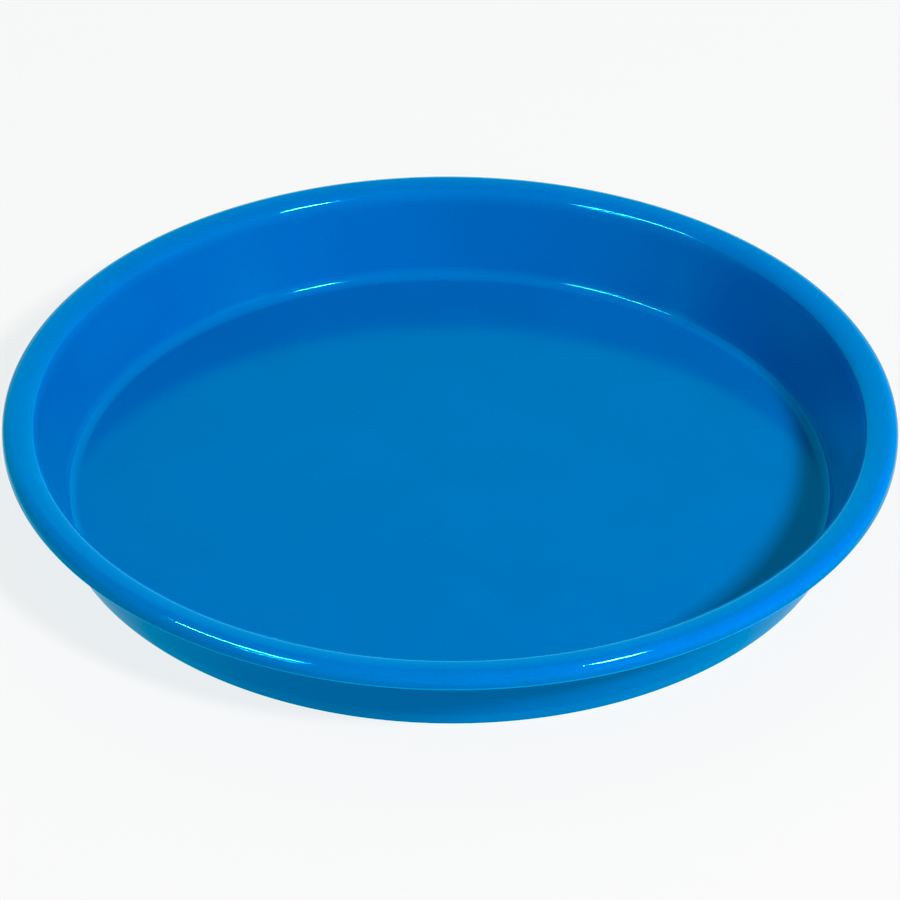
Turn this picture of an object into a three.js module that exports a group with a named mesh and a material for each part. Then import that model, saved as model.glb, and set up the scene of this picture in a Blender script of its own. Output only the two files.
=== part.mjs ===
// A shallow round pan, moulded in one piece of glossy blue plastic.
// Flat floor, a small rounded corner up into a flared wall, and a rim that rolls outward and ends in a lip.
// The rim slopes up gently from the mouth to its crown, then turns down steeply to the lip.
// Millimetres, +Z up, origin at the centre of the underside, in the plane the pan rests on.

import * as THREE from 'three';

// Driving dimensions
const LIP_RADIUS = 200;           // outermost edge of the pan, at the foot of the lip
const HEIGHT = 43;                // top of the rim, at its crown
const CROWN_RADIUS = 195;         // the crown is nearer the rim's outer edge than the mouth
const CROWN_RISE = 5.2;           // height of the quarter ellipse from the lip up to the crown
const MOUTH_RADIUS = 185.1;       // where the rim runs into the straight inner wall
const MOUTH_HEIGHT = 39.2;
const RIM_WALL = 1.8;             // thickness of the lip and of the rim at its crown
const LIP_HEIGHT = 35.0;          // foot of the lip above the plane the pan rests on
const WALL_TOP = 3.0;             // width of the wall's section just under the rim
const BASE_RADIUS = 176.8;        // outer edge of the underside
const BASE_EDGE_RADIUS = 0.8;     // on the outer edge of the underside
const FLOOR = 2.0;                // top of the floor above the plane the pan rests on
const CORNER_TOP_RADIUS = 172.3;  // where the inner wall meets the rounded corner
const CORNER_HEIGHT = 2.5;        // the rounded corner rises this far above the floor
const CORNER_WIDTH = 5.4;         // and reaches this far in over it
const FOOT_RING_WIDTH = 16;       // the flat band that the pan stands on
const FOOT_RING_HEIGHT = 0.4;     // the underside is recessed this much inside the band

// Segments
const AROUND = 112;
const CORNER_STEPS = 5;
const OUTER_RIM_STEPS = 7;
const INNER_RIM_STEPS = 6;
const UNDER_RIM_STEPS = 6;
const LIP_FOOT_STEPS = 4;
const BASE_EDGE_STEPS = 2;

const rimFootHeight = HEIGHT - CROWN_RISE;
const cornerTopHeight = FLOOR + CORNER_HEIGHT;

// The wall narrows upward, so its inner face leans further from the vertical than its outer face.
const innerSlope = (MOUTH_RADIUS - CORNER_TOP_RADIUS) / (MOUTH_HEIGHT - cornerTopHeight);
const outerSlope = (MOUTH_RADIUS + WALL_TOP - BASE_RADIUS) / MOUTH_HEIGHT;

function outerWallRadius(z) {
  return BASE_RADIUS + z * outerSlope;
}

// Points along part of an ellipse. Angle 0 points outward and 90 degrees points up.
function arc(centreR, centreZ, radiusR, radiusZ, fromDegrees, toDegrees, steps) {
  const points = [];
  for (let i = 0; i <= steps; i++) {
    const angle = THREE.MathUtils.degToRad(fromDegrees + (toDegrees - fromDegrees) * i / steps);
    points.push(new THREE.Vector2(centreR + radiusR * Math.cos(angle), centreZ + radiusZ * Math.sin(angle)));
  }
  return points;
}

// The underside, recessed inside the foot ring, and the rounded edge that runs into the outer wall.
function underside() {
  const ringInner = BASE_RADIUS - FOOT_RING_WIDTH;
  const lean = Math.atan(outerSlope);
  const centre = BASE_RADIUS - BASE_EDGE_RADIUS * Math.tan((Math.PI / 2 - lean) / 2);
  const end = -THREE.MathUtils.radToDeg(lean);
  return [
    new THREE.Vector2(0, FOOT_RING_HEIGHT),
    new THREE.Vector2(ringInner - FOOT_RING_HEIGHT, FOOT_RING_HEIGHT),
    new THREE.Vector2(ringInner, 0),
    ...arc(centre, BASE_EDGE_RADIUS, BASE_EDGE_RADIUS, BASE_EDGE_RADIUS, -90, end, BASE_EDGE_STEPS),
  ];
}

// The hollow underneath the rim: out from the wall, over, and down the inside of the lip.
function underRim() {
  const innerEnd = outerWallRadius(rimFootHeight);
  const outerEnd = LIP_RADIUS - RIM_WALL;
  const centre = (innerEnd + outerEnd) / 2;
  const halfWidth = (outerEnd - innerEnd) / 2;
  return arc(centre, rimFootHeight, halfWidth, CROWN_RISE - RIM_WALL, 180, 0, UNDER_RIM_STEPS);
}

// The lip's foot is fully rounded.
function lipFoot() {
  const radius = RIM_WALL / 2;
  return arc(LIP_RADIUS - radius, LIP_HEIGHT + radius, radius, radius, 180, 360, LIP_FOOT_STEPS);
}

// The visible rim: up from the lip to the crown, then a long gentle slope in that turns down into the wall.
function rim() {
  const slope = new THREE.QuadraticBezierCurve(
    new THREE.Vector2(CROWN_RADIUS, HEIGHT),
    new THREE.Vector2(MOUTH_RADIUS + innerSlope * (HEIGHT - MOUTH_HEIGHT), HEIGHT),
    new THREE.Vector2(MOUTH_RADIUS, MOUTH_HEIGHT),
  );
  return [
    ...arc(CROWN_RADIUS, rimFootHeight, LIP_RADIUS - CROWN_RADIUS, CROWN_RISE, 0, 90, OUTER_RIM_STEPS),
    ...slope.getPoints(INNER_RIM_STEPS).slice(1),
  ];
}

// The rounded corner between the inner wall and the floor, then the floor to its centre.
function cornerAndFloor() {
  const corner = new THREE.QuadraticBezierCurve(
    new THREE.Vector2(CORNER_TOP_RADIUS, cornerTopHeight),
    new THREE.Vector2(CORNER_TOP_RADIUS - innerSlope * CORNER_HEIGHT, FLOOR),
    new THREE.Vector2(CORNER_TOP_RADIUS - CORNER_WIDTH, FLOOR),
  );
  return [...corner.getPoints(CORNER_STEPS), new THREE.Vector2(0, FLOOR)];
}

function pan() {
  const profile = [...underside(), ...underRim(), ...lipFoot(), ...rim(), ...cornerAndFloor()];
  const geometry = new THREE.LatheGeometry(profile, AROUND);
  geometry.rotateX(Math.PI / 2);
  const plastic = new THREE.MeshStandardMaterial({ color: 0x0074bd, roughness: 0.22, metalness: 0 });
  const mesh = new THREE.Mesh(geometry, plastic);
  mesh.name = 'pan';
  return mesh;
}

const group = new THREE.Group();
group.add(pan());

export default group;
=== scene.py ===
"""A round, shallow pan of glossy blue moulded plastic, in soft studio light."""

import math

import bmesh
import bpy
from mathutils import Matrix, Vector


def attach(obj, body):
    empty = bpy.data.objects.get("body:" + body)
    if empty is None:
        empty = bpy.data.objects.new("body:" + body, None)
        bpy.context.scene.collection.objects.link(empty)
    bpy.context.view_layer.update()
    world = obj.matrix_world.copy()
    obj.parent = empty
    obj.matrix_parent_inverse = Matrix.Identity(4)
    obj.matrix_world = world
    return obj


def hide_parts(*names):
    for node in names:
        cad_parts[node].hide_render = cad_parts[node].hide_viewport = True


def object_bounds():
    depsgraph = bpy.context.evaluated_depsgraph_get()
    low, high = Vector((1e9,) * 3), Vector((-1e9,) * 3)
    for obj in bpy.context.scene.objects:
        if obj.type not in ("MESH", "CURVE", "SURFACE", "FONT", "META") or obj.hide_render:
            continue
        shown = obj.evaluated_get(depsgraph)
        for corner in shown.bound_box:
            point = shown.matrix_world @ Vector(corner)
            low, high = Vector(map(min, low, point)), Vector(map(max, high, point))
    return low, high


MM = 0.001

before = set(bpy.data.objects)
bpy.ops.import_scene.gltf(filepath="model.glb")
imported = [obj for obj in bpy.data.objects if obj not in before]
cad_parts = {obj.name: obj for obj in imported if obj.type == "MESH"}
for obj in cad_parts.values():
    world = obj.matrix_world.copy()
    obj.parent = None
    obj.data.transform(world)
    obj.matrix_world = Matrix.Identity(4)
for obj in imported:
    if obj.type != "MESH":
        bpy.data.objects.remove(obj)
CAD_LOW, CAD_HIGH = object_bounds()

# The pan's section, in metres. The outer radius and the height come from the frame.
LIP_RADIUS = (CAD_HIGH.x - CAD_LOW.x) / 2
CROWN_HEIGHT = CAD_HIGH.z
LIP_HEIGHT = 35.0 * MM
CROWN_RADIUS = LIP_RADIUS - 5.0 * MM
CROWN_RISE = 5.2 * MM
MOUTH_RADIUS = 185.1 * MM
MOUTH_HEIGHT = 39.2 * MM
RIM_WALL = 1.8 * MM
WALL_TOP = 3.0 * MM
BASE_RADIUS = 176.8 * MM
BASE_EDGE_RADIUS = 0.8 * MM
FLOOR = 2.0 * MM
CORNER_TOP_RADIUS = 172.3 * MM
CORNER_HEIGHT = 2.5 * MM
CORNER_WIDTH = 5.4 * MM
FOOT_RING_WIDTH = 16 * MM
FOOT_RING_HEIGHT = 0.4 * MM
# Where the section's straight stretches begin and end: distances from the shaped stretch next to
# them, the outer wall's first height, and shares of the floor's and the ring's radius
RECESS_MARGIN = 3 * MM
RING_MARGIN = 2 * MM
WALL_START_HEIGHT = 3 * MM
WALL_START_DROP = 1 * MM
FLOOR_START = 0.98
RECESS_START = 0.25
# The recess's soft edge: how far inside the ring, in metres, and the share of the recess's depth
RECESS_EDGE = ((1.2 * MM, 1.0), (0.6 * MM, 0.85), (0.2 * MM, 0.15), (-0.4 * MM, 0.0))

RIM_FOOT_HEIGHT = CROWN_HEIGHT - CROWN_RISE
CORNER_TOP_HEIGHT = FLOOR + CORNER_HEIGHT
INNER_SLOPE = (MOUTH_RADIUS - CORNER_TOP_RADIUS) / (MOUTH_HEIGHT - CORNER_TOP_HEIGHT)
OUTER_SLOPE = (MOUTH_RADIUS + WALL_TOP - BASE_RADIUS) / MOUTH_HEIGHT

# Linear base colours and roughness of the plastic, each chosen for its own region of the pan; the
# wall's colour is the plastic's own, and the others carry painted light
WALL_COLOUR = (0.0, 0.135, 0.495, 1)
# painted sheen: the rim's colour is lighter than the wall's, standing in for the light the rim catches
RIM_COLOUR_WITH_PAINTED_SHEEN = (0.0, 0.178, 0.57, 1)
# painted reflection: the corner's colour is paler than the wall's, standing in for the light band along
# the corner
CORNER_COLOUR_WITH_PAINTED_REFLECTION = (0.0, 0.168, 0.53, 1)
# the plastic's colour, and partly a painted reflection: greener than the wall's, standing in for the
# floor's sheen
FLOOR_COLOUR_WITH_PAINTED_REFLECTION = (0.0, 0.14, 0.475, 1)
# painted highlight: the pale line along the lip's foot
LIP_PAINTED_HIGHLIGHT_COLOUR = (0.1, 0.42, 0.85, 1)
GLOSSY_ROUGHNESS = 0.07
WALL_ROUGHNESS = 0.2
FLOOR_ROUGHNESS = 0.14

# Where one colour or gloss fades into the next, in metres: up the wall to the rim, up from the corner,
# and round the painted highlight at the lip's foot, inward from the outermost edge and upward from the
# lowest
RIM_FADE_BELOW_MOUTH = 5 * MM
RIM_FADE_ABOVE_MOUTH = 1 * MM
CORNER_FADE = 3 * MM
LIP_FADE_INWARD = (1.2 * MM, 0.4 * MM)
LIP_FADE_UPWARD = (0.4 * MM, 1.3 * MM)

# The plastic's fine detail: sizes in metres, and how far each changes the colour, roughness or surface
CLOUD_SIZE = 45 * MM
CLOUD_DEPTH = 0.025
CLOUD_DETAIL = 3.0
GRAIN_SIZE = 1.1 * MM
GRAIN_DEPTH = 0.03
SPECK_SPACING = 16 * MM
SPECK_SIZE = 0.7 * MM
SPECK_SHARE = 0.05
SPECK_SHADE = 0.45
WORN_SIZE = 30 * MM
WORN_RANGE = (-0.02, 0.03)
WORN_DETAIL = 4.0
TEXTURE_SIZE = 0.6 * MM
TEXTURE_HEIGHT = 0.015 * MM
WAVE_SIZE = 9 * MM
WAVE_HEIGHT = 0.02 * MM
WAVE_DETAIL = 3.0
# The values of the noise between which each pattern runs from its least to its most
SHADE_NOISE = (0.3, 0.7)
WORN_NOISE = (0.35, 0.75)
# A speck's least radius as a share of SPECK_SIZE, to which chance adds up to one SPECK_SIZE more
SPECK_LEAST = 0.4
REFLECTION_TINT = (0.2, 0.78, 1.0, 1)
PLASTIC_IOR = 1.5

# The ground: a dark surface whose white is nearly all its own glow, so that shadows on it stay faint
GROUND_SIZE = 12
GROUND_COLOUR = (0.06, 0.06, 0.06, 1)
GROUND_ROUGHNESS = 0.9
GROUND_GLOW_COLOUR = (1, 0.96, 0.96, 1)
GROUND_GLOW = 0.77

# The camera: angles in degrees, the lens and sensor in millimetres, and the furthest seen in metres
CAMERA_DISTANCE = 2237.4 * MM
CAMERA_AIM_HEIGHT = 38.4 * MM
CAMERA_ELEVATION = 34.0865
CAMERA_TILT = 34.4968
CAMERA_ROLL = 0.332
CAMERA_LENS = 200
CAMERA_SENSOR = 36
CAMERA_REACH = 50

# Lamps: name, azimuth, elevation, width, height, power, and whether it lights the plastic's own colour.
# The strips are seen only in the gloss, as the streaks along the rim and the corner.
LAMP_DISTANCE = 5
LAMPS = (
    ("key", -44.5, 43.2, 0.9, 0.7, 262, True),
    ("high_strip", -147, 42, 2.6, 0.45, 270, False),
    ("low_strip", -134, 25, 1.2, 0.3, 60, False),
)

# The surroundings: their colour, with red added to offset the red curve below, and their brightness
# everywhere, near the horizon, and half way up
SKY_COLOUR = (1.12, 0.96, 1.04, 1)
SKY_BASE = 0.05
HORIZON = 0.42
HORIZON_LEFT = 0.1
HORIZON_BEHIND = 0.8
HALFWAY_LEFT = 0.8
HALFWAY_BEHIND = 1.25
DIRECTION_FALLOFF = 2.0
HORIZON_FALLOFF = 4.0

# Points of the picture's tone curves, from linear light in to linear light out
RED_CURVE = ((0.12, 0.0), (0.4, 0.22), (0.7, 0.64))
WHOLE_CURVE = ((0.66, 0.66), (0.81, 0.97))

# The Mix node's colour sockets, which share their names with its other sockets
MIX_FIRST_COLOUR = 6
MIX_SECOND_COLOUR = 7
MIX_COLOUR_RESULT = 2

# Steps round the axis and along the section
AROUND = 384
RIM_STEPS = 32
CORNER_STEPS = 20
SMALL_STEPS = 6
UNDER_RIM_STEPS = 16
WALL_STEPS = 10
UNDERSIDE_STEPS = 6
RING_STEPS = 4
FLOOR_STEPS = 30
# A profile point nearer to the axis than this, in metres, is on it
ON_AXIS = 1e-9


def arc(centre, radii, start, end, steps):
    """Points (radius, height) along part of an ellipse, where 0 degrees points outward and 90 up."""
    points = []
    for i in range(steps + 1):
        angle = math.radians(start + (end - start) * i / steps)
        r = centre[0] + radii[0] * math.cos(angle)
        z = centre[1] + radii[1] * math.sin(angle)
        points.append((r, z))
    return points


def straight(start, end, steps):
    """Points from start to just before end."""
    return [
        (start[0] + (end[0] - start[0]) * i / steps, start[1] + (end[1] - start[1]) * i / steps)
        for i in range(steps)
    ]


def outer_wall(z):
    return BASE_RADIUS + z * OUTER_SLOPE


def bend(start, middle, end, steps):
    """Points along a curve from start to end that leaves and arrives aimed at middle."""
    points = []
    for i in range(steps + 1):
        t = i / steps
        a, b, c = (1 - t) ** 2, 2 * t * (1 - t), t ** 2
        points.append(tuple(a * start[k] + b * middle[k] + c * end[k] for k in range(2)))
    return points


def section():
    """The section from the underside's centre, out, up, over the rim and back in along the floor."""
    ring_inner = BASE_RADIUS - FOOT_RING_WIDTH
    outer_lean = math.atan(OUTER_SLOPE)
    edge = BASE_RADIUS - BASE_EDGE_RADIUS * math.tan((math.pi / 2 - outer_lean) / 2)
    points = [(0, FOOT_RING_HEIGHT)]
    recess_start = (ring_inner * RECESS_START, FOOT_RING_HEIGHT)
    recess_end = (ring_inner - RECESS_MARGIN, FOOT_RING_HEIGHT)
    points += straight(recess_start, recess_end, UNDERSIDE_STEPS)
    for inward, depth in RECESS_EDGE:
        points.append((ring_inner - inward, FOOT_RING_HEIGHT * depth))
    points += straight((ring_inner + RING_MARGIN, 0), (edge, 0), RING_STEPS)
    edge_radii = (BASE_EDGE_RADIUS, BASE_EDGE_RADIUS)
    points += arc((edge, BASE_EDGE_RADIUS), edge_radii, -90, -math.degrees(outer_lean), SMALL_STEPS)
    # up the outer wall to the hollow under the rim
    inner_end = outer_wall(RIM_FOOT_HEIGHT)
    outer_end = LIP_RADIUS - RIM_WALL
    wall_foot = (outer_wall(WALL_START_HEIGHT), WALL_START_HEIGHT)
    points += straight(wall_foot, (inner_end, RIM_FOOT_HEIGHT), WALL_STEPS)
    points += arc(
        ((inner_end + outer_end) / 2, RIM_FOOT_HEIGHT),
        ((outer_end - inner_end) / 2, CROWN_RISE - RIM_WALL),
        180, 0, UNDER_RIM_STEPS,
    )
    # the lip's fully rounded foot
    r = RIM_WALL / 2
    points += arc((LIP_RADIUS - r, LIP_HEIGHT + r), (r, r), 180, 360, 4 * SMALL_STEPS)
    # over the crown, then a long gentle slope inward that turns down into the inner wall
    outer_radii = (LIP_RADIUS - CROWN_RADIUS, CROWN_RISE)
    points += arc((CROWN_RADIUS, RIM_FOOT_HEIGHT), outer_radii, 0, 90, RIM_STEPS)
    turn = (MOUTH_RADIUS + INNER_SLOPE * (CROWN_HEIGHT - MOUTH_HEIGHT), CROWN_HEIGHT)
    mouth = (MOUTH_RADIUS, MOUTH_HEIGHT)
    points += bend((CROWN_RADIUS, CROWN_HEIGHT), turn, mouth, RIM_STEPS)[1:]
    # down the inner wall, round the corner and across the floor
    corner_top = (CORNER_TOP_RADIUS, CORNER_TOP_HEIGHT)
    wall_start = (MOUTH_RADIUS - INNER_SLOPE * WALL_START_DROP, MOUTH_HEIGHT - WALL_START_DROP)
    points += straight(wall_start, corner_top, WALL_STEPS)
    corner_foot = (CORNER_TOP_RADIUS - INNER_SLOPE * CORNER_HEIGHT, FLOOR)
    corner_end = (CORNER_TOP_RADIUS - CORNER_WIDTH, FLOOR)
    points += bend(corner_top, corner_foot, corner_end, CORNER_STEPS)
    points += straight((corner_end[0] * FLOOR_START, FLOOR), (0, FLOOR), FLOOR_STEPS)
    points += [(0, FLOOR)]
    return points


def turned(name, profile, around):
    """A solid of revolution about +Z from a profile whose two ends lie on the axis."""
    mesh = bpy.data.meshes.new(name)
    bm = bmesh.new()
    rings = []
    for r, z in profile:
        if r < ON_AXIS:
            rings.append([bm.verts.new((0, 0, z))])
            continue
        rings.append([
            bm.verts.new((
                r * math.cos(2 * math.pi * k / around),
                r * math.sin(2 * math.pi * k / around),
                z,
            ))
            for k in range(around)
        ])
    for a, b in zip(rings, rings[1:]):
        for k in range(around):
            n = (k + 1) % around
            loop = [a[k % len(a)], a[n % len(a)], b[n % len(b)], b[k % len(b)]]
            face = list(dict.fromkeys(loop))
            if len(face) > 2:
                bm.faces.new(face)
    bmesh.ops.recalc_face_normals(bm, faces=bm.faces)
    for face in bm.faces:
        face.smooth = True
    bm.to_mesh(mesh)
    bm.free()
    piece = bpy.data.objects.new(name, mesh)
    bpy.context.scene.collection.objects.link(piece)
    return piece


def add_node(tree, kind, **settings):
    node = tree.nodes.new(kind)
    for name, value in settings.items():
        setattr(node, name, value)
    return node


def feed(tree, value, socket):
    """Link an output to a socket, or set the socket to a plain value."""
    if isinstance(value, bpy.types.NodeSocket):
        tree.links.new(value, socket)
    else:
        socket.default_value = value


def maths(tree, operation, *values):
    node = add_node(tree, "ShaderNodeMath", operation=operation)
    for value, socket in zip(values, node.inputs):
        feed(tree, value, socket)
    return node.outputs[0]


def ramp(tree, value, low, high, at_low, at_high):
    """A smooth step from at_low, where value is low, to at_high, where it is high."""
    node = add_node(tree, "ShaderNodeMapRange", interpolation_type="SMOOTHSTEP")
    names = ("Value", "From Min", "From Max", "To Min", "To Max")
    for item, name in zip((value, low, high, at_low, at_high), names):
        feed(tree, item, node.inputs[name])
    return node.outputs["Result"]


def blend_colours(tree, share, first, second):
    """The first colour where share is 0, and the second where it is 1."""
    node = add_node(tree, "ShaderNodeMix", data_type="RGBA")
    feed(tree, share, node.inputs["Factor"])
    feed(tree, first, node.inputs[MIX_FIRST_COLOUR])
    feed(tree, second, node.inputs[MIX_SECOND_COLOUR])
    return node.outputs[MIX_COLOUR_RESULT]


def noise(tree, place, size, detail=2.0):
    """Noise from 0 to 1 with patches about this size, in metres."""
    node = add_node(tree, "ShaderNodeTexNoise")
    feed(tree, place, node.inputs["Vector"])
    feed(tree, 1 / size, node.inputs["Scale"])
    feed(tree, detail, node.inputs["Detail"])
    return node.outputs["Fac"]


def flecks(tree, place, spacing, size, share):
    """1 inside small round specks, of which only this share of the cells has one."""
    cells = add_node(tree, "ShaderNodeTexVoronoi")
    feed(tree, place, cells.inputs["Vector"])
    feed(tree, 1 / spacing, cells.inputs["Scale"])
    chosen = add_node(tree, "ShaderNodeSeparateColor")
    feed(tree, cells.outputs["Color"], chosen.inputs["Color"])
    picked = maths(tree, "LESS_THAN", chosen.outputs["Red"], share)
    relative = size / spacing
    width = maths(tree, "MULTIPLY_ADD", chosen.outputs["Green"], relative, SPECK_LEAST * relative)
    inside = maths(tree, "LESS_THAN", cells.outputs["Distance"], width)
    return maths(tree, "MULTIPLY", picked, inside)


def plastic():
    """Blue moulded plastic: satin on the floor and the wall, glossy on the rim and in the corner, with
    a painted sheen on the rim, painted reflections in the corner and on the floor, and a painted
    highlight along the lip.
    """
    material = bpy.data.materials.new("blue_plastic")
    material.use_nodes = True
    tree = material.node_tree
    shader = tree.nodes["Principled BSDF"]
    place = add_node(tree, "ShaderNodeTexCoord").outputs["Object"]
    parts = add_node(tree, "ShaderNodeSeparateXYZ")
    feed(tree, place, parts.inputs[0])
    x, y = parts.outputs[0], parts.outputs[1]
    squares = maths(tree, "ADD", maths(tree, "MULTIPLY", x, x), maths(tree, "MULTIPLY", y, y))
    radius = maths(tree, "SQRT", squares)
    height = parts.outputs[2]

    # 1 on the flat floor, inside and underneath, fading to 0 half way through the corner
    floor_end = CORNER_TOP_RADIUS - CORNER_WIDTH
    on_floor = ramp(tree, radius, floor_end, floor_end + CORNER_WIDTH / 2, 1.0, 0.0)

    fade_start = MOUTH_HEIGHT - RIM_FADE_BELOW_MOUTH
    fade_end = MOUTH_HEIGHT + RIM_FADE_ABOVE_MOUTH
    on_rim = ramp(tree, height, fade_start, fade_end, 0.0, 1.0)
    # 1 above the corner between floor and wall, which is painted a little paler as a painted reflection
    off_corner = ramp(tree, height, CORNER_TOP_HEIGHT, CORNER_TOP_HEIGHT + CORNER_FADE, 0.0, 1.0)
    # the rim is painted lighter as a painted sheen, the corner paler as a painted reflection, and the
    # floor greener, partly as a painted reflection
    colour = blend_colours(tree, on_rim, WALL_COLOUR, RIM_COLOUR_WITH_PAINTED_SHEEN)
    colour = blend_colours(tree, off_corner, CORNER_COLOUR_WITH_PAINTED_REFLECTION, colour)
    colour = blend_colours(tree, on_floor, colour, FLOOR_COLOUR_WITH_PAINTED_REFLECTION)
    # a painted highlight: the pale line along the lip's foot
    inner, outer = (LIP_RADIUS - inward for inward in LIP_FADE_INWARD)
    lower, upper = (LIP_HEIGHT + upward for upward in LIP_FADE_UPWARD)
    outermost = ramp(tree, radius, inner, outer, 0.0, 1.0)
    lowest = ramp(tree, height, lower, upper, 1.0, 0.0)
    lip_painted_highlight = maths(tree, "MULTIPLY", outermost, lowest)
    colour = blend_colours(tree, lip_painted_highlight, colour, LIP_PAINTED_HIGHLIGHT_COLOUR)
    clouds = noise(tree, place, CLOUD_SIZE, CLOUD_DETAIL)
    cloudy = ramp(tree, clouds, *SHADE_NOISE, 1 - CLOUD_DEPTH, 1 + CLOUD_DEPTH)
    grain = ramp(tree, noise(tree, place, GRAIN_SIZE), *SHADE_NOISE, 1 - GRAIN_DEPTH, 1 + GRAIN_DEPTH)
    specks = flecks(tree, place, SPECK_SPACING, SPECK_SIZE, SPECK_SHARE)
    speck_shade = ramp(tree, specks, 0.0, 1.0, 1.0, SPECK_SHADE)
    shade = maths(tree, "MULTIPLY", maths(tree, "MULTIPLY", cloudy, grain), speck_shade)
    shaded = add_node(tree, "ShaderNodeVectorMath", operation="SCALE")
    feed(tree, colour, shaded.inputs[0])
    feed(tree, shade, shaded.inputs["Scale"])
    feed(tree, shaded.outputs[0], shader.inputs["Base Color"])

    worn = ramp(tree, noise(tree, place, WORN_SIZE, WORN_DETAIL), *WORN_NOISE, *WORN_RANGE)
    off_rim = maths(tree, "SUBTRACT", 1.0, on_rim)
    on_wall = maths(tree, "MULTIPLY", off_rim, off_corner)
    satin = ramp(tree, on_wall, 0.0, 1.0, GLOSSY_ROUGHNESS, WALL_ROUGHNESS)
    satin = maths(tree, "MAXIMUM", satin, ramp(tree, on_floor, 0.0, 1.0, 0.0, FLOOR_ROUGHNESS))
    feed(tree, maths(tree, "ADD", satin, worn), shader.inputs["Roughness"])

    # the mould's fine texture and the slight waviness of a large thin moulding
    texture = add_node(tree, "ShaderNodeBump")
    feed(tree, noise(tree, place, TEXTURE_SIZE), texture.inputs["Height"])
    feed(tree, TEXTURE_HEIGHT, texture.inputs["Distance"])
    waves = add_node(tree, "ShaderNodeBump")
    feed(tree, noise(tree, place, WAVE_SIZE, WAVE_DETAIL), waves.inputs["Height"])
    feed(tree, WAVE_HEIGHT, waves.inputs["Distance"])
    feed(tree, waves.outputs[0], texture.inputs["Normal"])
    feed(tree, texture.outputs[0], shader.inputs["Normal"])

    shader.inputs["IOR"].default_value = PLASTIC_IOR
    shader.inputs["Specular Tint"].default_value = REFLECTION_TINT
    return material


def add_floor():
    """A floor made pale by its own glow, so that the pan casts only a faint shadow on it."""
    bpy.ops.mesh.primitive_plane_add(size=GROUND_SIZE, location=(0, 0, 0))
    floor = bpy.context.object
    floor.name = "studio_floor"
    material = bpy.data.materials.new("floor_paper")
    material.use_nodes = True
    shader = material.node_tree.nodes["Principled BSDF"]
    shader.inputs["Base Color"].default_value = GROUND_COLOUR
    shader.inputs["Roughness"].default_value = GROUND_ROUGHNESS
    shader.inputs["Specular IOR Level"].default_value = 0.0
    shader.inputs["Emission Color"].default_value = GROUND_GLOW_COLOUR
    shader.inputs["Emission Strength"].default_value = GROUND_GLOW
    floor.data.materials.append(material)


def add_camera():
    elevation = math.radians(CAMERA_ELEVATION)
    data = bpy.data.cameras.new("camera")
    data.sensor_width = CAMERA_SENSOR
    data.lens = CAMERA_LENS
    data.clip_end = CAMERA_REACH
    camera = bpy.data.objects.new("camera", data)
    bpy.context.scene.collection.objects.link(camera)
    back = CAMERA_DISTANCE * math.cos(elevation)
    up = CAMERA_DISTANCE * math.sin(elevation)
    place = Matrix.Translation((0, -back, CAMERA_AIM_HEIGHT + up))
    tilt = Matrix.Rotation(math.radians(90 - CAMERA_TILT), 4, "X")
    roll = Matrix.Rotation(math.radians(CAMERA_ROLL), 4, "Z")
    camera.matrix_world = place @ tilt @ roll
    bpy.context.scene.camera = camera


def add_lamp(name, azimuth, elevation, width, height, power, lights_colour):
    """An area lamp aimed at the pan. Azimuth 0 is +X and 90 is +Y, in degrees."""
    data = bpy.data.lights.new(name, "AREA")
    data.shape = "RECTANGLE"
    data.size = width
    data.size_y = height
    data.energy = power
    lamp = bpy.data.objects.new(name, data)
    a, e = math.radians(azimuth), math.radians(elevation)
    aim = Vector((math.cos(a) * math.cos(e), math.sin(a) * math.cos(e), math.sin(e)))
    lamp.location = aim * LAMP_DISTANCE
    lamp.rotation_mode = "QUATERNION"
    lamp.rotation_quaternion = aim.to_track_quat("Z", "Y")
    lamp.visible_diffuse = lights_colour
    bpy.context.scene.collection.objects.link(lamp)


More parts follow.
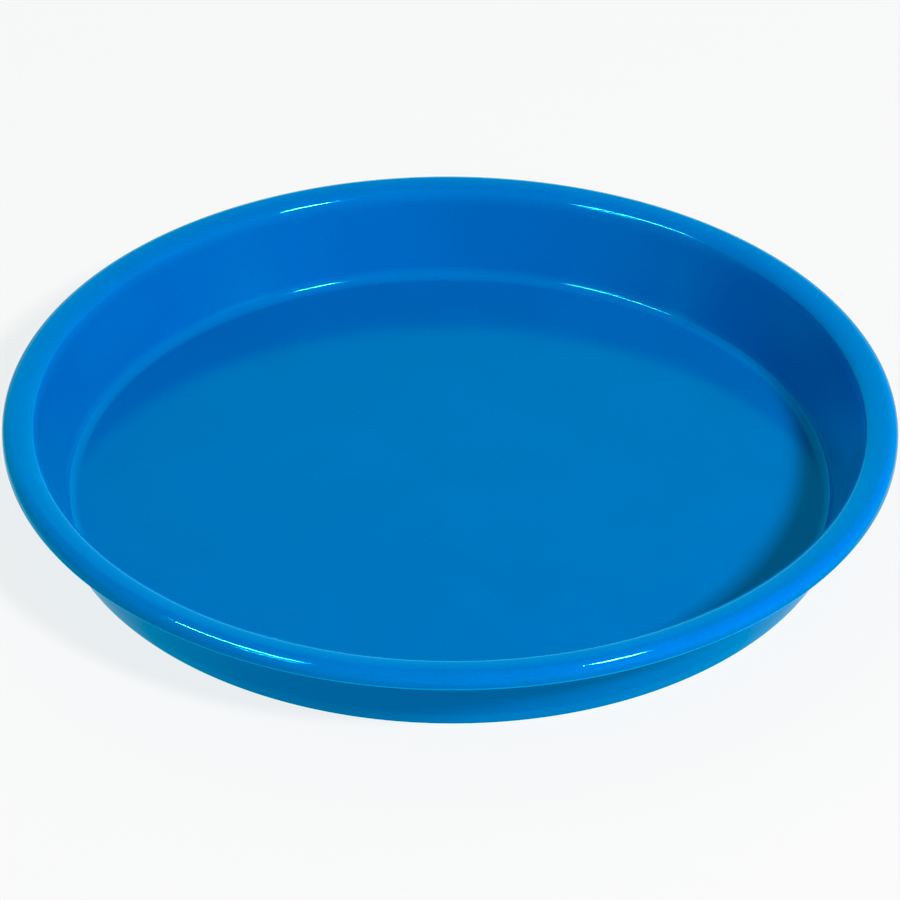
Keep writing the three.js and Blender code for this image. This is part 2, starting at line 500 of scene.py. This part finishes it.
def add_world():
    """Soft light all round: brightest low down behind the pan, and dim overhead and in front."""
    world = bpy.data.worlds.new("studio")
    bpy.context.scene.world = world
    world.use_nodes = True
    tree = world.node_tree
    parts = add_node(tree, "ShaderNodeSeparateXYZ")
    feed(tree, add_node(tree, "ShaderNodeTexCoord").outputs["Generated"], parts.inputs[0])
    x, y, z = parts.outputs
    up = maths(tree, "MAXIMUM", z, 0.0)
    down = maths(tree, "SUBTRACT", 1.0, up)
    leftward = maths(tree, "MULTIPLY", x, -1.0)
    behind = maths(tree, "POWER", maths(tree, "MAXIMUM", y, 0.0), DIRECTION_FALLOFF)
    left = maths(tree, "POWER", maths(tree, "MAXIMUM", leftward, 0.0), DIRECTION_FALLOFF)
    horizon = maths(tree, "ADD", HORIZON, maths(tree, "MULTIPLY", left, HORIZON_LEFT))
    horizon = maths(tree, "ADD", horizon, maths(tree, "MULTIPLY", behind, HORIZON_BEHIND))
    low_light = maths(tree, "MULTIPLY", horizon, maths(tree, "POWER", down, HORIZON_FALLOFF))
    side_on = maths(tree, "MULTIPLY", left, HALFWAY_LEFT)
    side_on = maths(tree, "ADD", side_on, maths(tree, "MULTIPLY", behind, HALFWAY_BEHIND))
    # 0 at the horizon and overhead, and 1 half way up
    bump = maths(tree, "MULTIPLY", 4.0, maths(tree, "MULTIPLY", up, down))
    middle = maths(tree, "MULTIPLY", bump, side_on)
    total = maths(tree, "ADD", SKY_BASE, maths(tree, "ADD", low_light, middle))
    feed(tree, total, tree.nodes["Background"].inputs["Strength"])
    tree.nodes["Background"].inputs["Color"].default_value = SKY_COLOUR


def set_tone_curves():
    """Hold back faint reds, so that the blue stays pure, and lift the lightest tones to white."""
    settings = bpy.context.scene.view_settings
    settings.view_transform = "Standard"
    settings.use_curve_mapping = True
    red, _, _, every = settings.curve_mapping.curves
    for curve, points in ((red, RED_CURVE), (every, WHOLE_CURVE)):
        for place in points:
            curve.points.new(*place).handle_type = "VECTOR"
    settings.curve_mapping.update()


add_camera()
pan = turned("moulded_pan", section(), AROUND)
pan.data.materials.append(plastic())
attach(pan, "root")
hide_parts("pan")
add_floor()
add_world()
for lamp_settings in LAMPS:
    add_lamp(*lamp_settings)
set_tone_curves()
